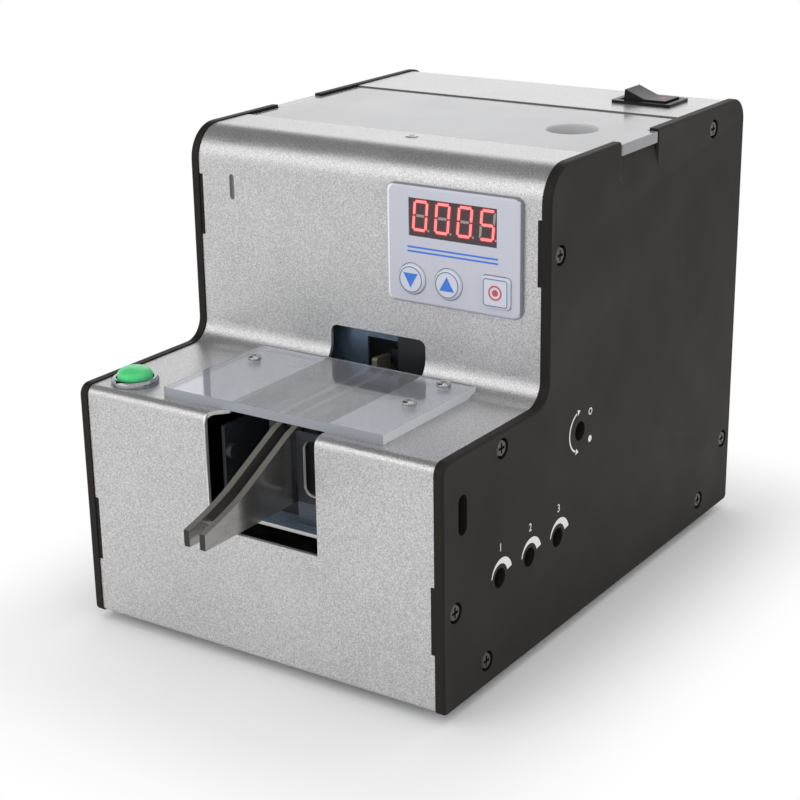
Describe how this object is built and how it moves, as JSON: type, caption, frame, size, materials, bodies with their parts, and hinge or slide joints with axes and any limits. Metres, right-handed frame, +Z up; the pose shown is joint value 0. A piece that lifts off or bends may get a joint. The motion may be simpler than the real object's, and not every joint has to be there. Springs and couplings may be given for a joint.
{
  "type": "counting screw feeder",
  "caption": "Desk-top counting screw feeder: lidded hopper with scoop drum, vibrating rail, clear guard and a curved two-plate outlet chute in a stepped sheet-metal case.",
  "frame": {"origin": "bottom centre of the bounding box, on the floor under the rubber feet", "axes": "+X to the right as seen from the front, +Y from the outlet chute to the rear panel, +Z up"},
  "size_m": [0.13, 0.2196, 0.1511],
  "materials": {
    "zinc_sheet": "zinc plated sheet",
    "black_paint": "fine satin black powder coat",
    "silver_paint": "sand-blasted metallic silver",
    "foot_rubber": "matt",
    "dark_screw": "plated",
    "bright_screw": "nickel plated",
    "clear_acrylic": "clear, with sawn edges",
    "frosted_acrylic": "milky, satin",
    "chute_steel": "ground",
    "grey_sheet": "satin",
    "black_plastic": "moulded, fine grain",
    "keypad_film": "satin film",
    "key_film": "satin film, domed",
    "display_face": "dark red face of a digit display",
    "green_board": "solder mask",
    "bezel_chrome": "polished",
    "green_plastic": "gloss",
    "bush_brass": "turned",
    "white_nylon": "moulded",
    "motor_can": "plated can",
    "brush_hair": "bristle",
    "cast_block": "as cast",
    "copper_coil": "varnished winding"
  },
  "bodies": {
    "case": {"base_plate": "zinc_sheet", "left_side_plate": "black_paint", "right_side_plate": "black_paint", "front_panel": "silver_paint", "rear_panel": "silver_paint", "rubber_feet": "foot_rubber", "case_screws": "dark_screw", "top_screw": "bright_screw", "chute_guard": "clear_acrylic", "guard_screws": "bright_screw", "chute_left_plate": "chute_steel", "chute_right_plate": "chute_steel", "chute_bolts": "dark_screw", "chute_mount": "black_plastic", "chute_bracket": "grey_sheet", "count_sensor": "black_plastic", "escapement_solenoid": "black_plastic", "keypad_plate": "keypad_film", "display_module": "display_face", "keypad_board": "green_board", "start_button_body": "bezel_chrome", "start_button_nut": "bright_screw", "rocker_housing": "black_plastic", "power_jack": "black_plastic", "hopper_tub": "zinc_sheet", "shaft_bushes": "bush_brass", "drum_motor": "motor_can", "drum_motor_bracket": "grey_sheet", "roller_motor": "motor_can", "roller_motor_bracket": "grey_sheet", "vibrator_base": "cast_block", "vibrator_coil": "copper_coil", "leaf_springs": "chute_steel", "gate_guide": "black_plastic", "throat_plate": "grey_sheet", "trimmer_board": "green_board", "main_board": "green_board"},
    "lid": {"hopper_lid": "frosted_acrylic"},
    "rocker": {"rocker_paddle": "black_plastic"},
    "start_cap": {"start_button_cap": "green_plastic"},
    "down": {"down_key": "key_film"},
    "up": {"up_key": "key_film"},
    "set": {"set_key": "key_film"},
    "speed_trim": {"speed_trimmer": "black_plastic"},
    "vibrator_trim": {"vibrator_trimmer": "black_plastic"},
    "roller_trim": {"roller_trimmer": "black_plastic"},
    "spindle": {"lock_gate_spindle": "chute_steel"},
    "gate": {"lock_gate": "chute_steel"},
    "drum": {"drum_shaft": "chute_steel", "left_scoop_wheel": "black_plastic", "right_scoop_wheel": "black_plastic", "drum_gear": "white_nylon"},
    "drum_drive": {"drum_pinion": "white_nylon"},
    "roller": {"brush_roller": "brush_hair", "roller_shaft": "chute_steel", "roller_gear": "white_nylon"},
    "roller_drive": {"roller_pinion": "bush_brass"},
    "rail": {"rail_carrier": "cast_block", "feed_rails": "chute_steel"},
    "stop": {"escapement_pin": "bright_screw"}
  },
  "joints": [
    {"name": "lid_lift", "type": "slide", "parent": "case", "child": "lid", "axis": [0, 0, 1], "range_m": [0, 0.06]},
    {"name": "rocker_tilt", "type": "hinge", "parent": "case", "child": "rocker", "pos_m": [0.0413, 0.08675, 0.1456], "axis": [0, 1, 0], "range_deg": [-22, 0]},
    {"name": "start_press", "type": "slide", "parent": "case", "child": "start_cap", "axis": [0, 0, -1], "range_m": [0, 0.0022], "stiffness_N_per_m": 600},
    {"name": "down_press", "type": "slide", "parent": "case", "child": "down", "axis": [0, 1, 0], "range_m": [0, 0.0007], "stiffness_N_per_m": 800},
    {"name": "up_press", "type": "slide", "parent": "case", "child": "up", "axis": [0, 1, 0], "range_m": [0, 0.0007], "stiffness_N_per_m": 800},
    {"name": "set_press", "type": "slide", "parent": "case", "child": "set", "axis": [0, 1, 0], "range_m": [0, 0.0007], "stiffness_N_per_m": 800},
    {"name": "speed_turn", "type": "hinge", "parent": "case", "child": "speed_trim", "pos_m": [0.055, -0.04845, 0.034], "axis": [1, 0, 0], "range_deg": [-135, 135]},
    {"name": "vibrator_turn", "type": "hinge", "parent": "case", "child": "vibrator_trim", "pos_m": [0.055, -0.0316, 0.034], "axis": [1, 0, 0], "range_deg": [-135, 135]},
    {"name": "roller_turn", "type": "hinge", "parent": "case", "child": "roller_trim", "pos_m": [0.055, -0.01475, 0.034], "axis": [1, 0, 0], "range_deg": [-135, 135]},
    {"name": "lock_turn", "type": "hinge", "parent": "case", "child": "spindle", "pos_m": [0.04, -0.00185, 0.0638], "axis": [1, 0, 0], "range_deg": [-110, 0]},
    {"name": "gate_lift", "type": "slide", "parent": "case", "child": "gate", "axis": [0, 0, 1], "range_m": [0, 0.00628]},
    {"name": "drum_spin", "type": "hinge", "parent": "case", "child": "drum", "pos_m": [0, 0.03525, 0.0543], "axis": [1, 0, 0], "continuous": true},
    {"name": "drum_drive_spin", "type": "hinge", "parent": "case", "child": "drum_drive", "pos_m": [-0.055, 0.08025, 0.0543], "axis": [1, 0, 0], "continuous": true},
    {"name": "roller_spin", "type": "hinge", "parent": "case", "child": "roller", "pos_m": [0.005, 0.01875, 0.0888], "axis": [1, 0, 0], "continuous": true},
    {"name": "roller_drive_spin", "type": "hinge", "parent": "case", "child": "roller_drive", "pos_m": [0.054, -0.00225, 0.0888], "axis": [1, 0, 0], "continuous": true},
    {"name": "rail_shake", "type": "slide", "parent": "case", "child": "rail", "axis": [0, 1, 0], "range_m": [-0.0005, 0.0005], "stiffness_N_per_m": 20000, "deforming": ["leaf_springs"]},
    {"name": "stop_draw", "type": "slide", "parent": "case", "child": "stop", "axis": [-1, 0, 0], "range_m": [0, 0.004], "stiffness_N_per_m": 200}
  ],
  "couplings": [
    {"joint": "lock_turn", "follows": "gate_lift", "rad_per_m": -277.78},
    {"joint": "drum_drive_spin", "follows": "drum_spin", "ratio": -2},
    {"joint": "roller_drive_spin", "follows": "roller_spin", "ratio": -1.625}
  ]
}
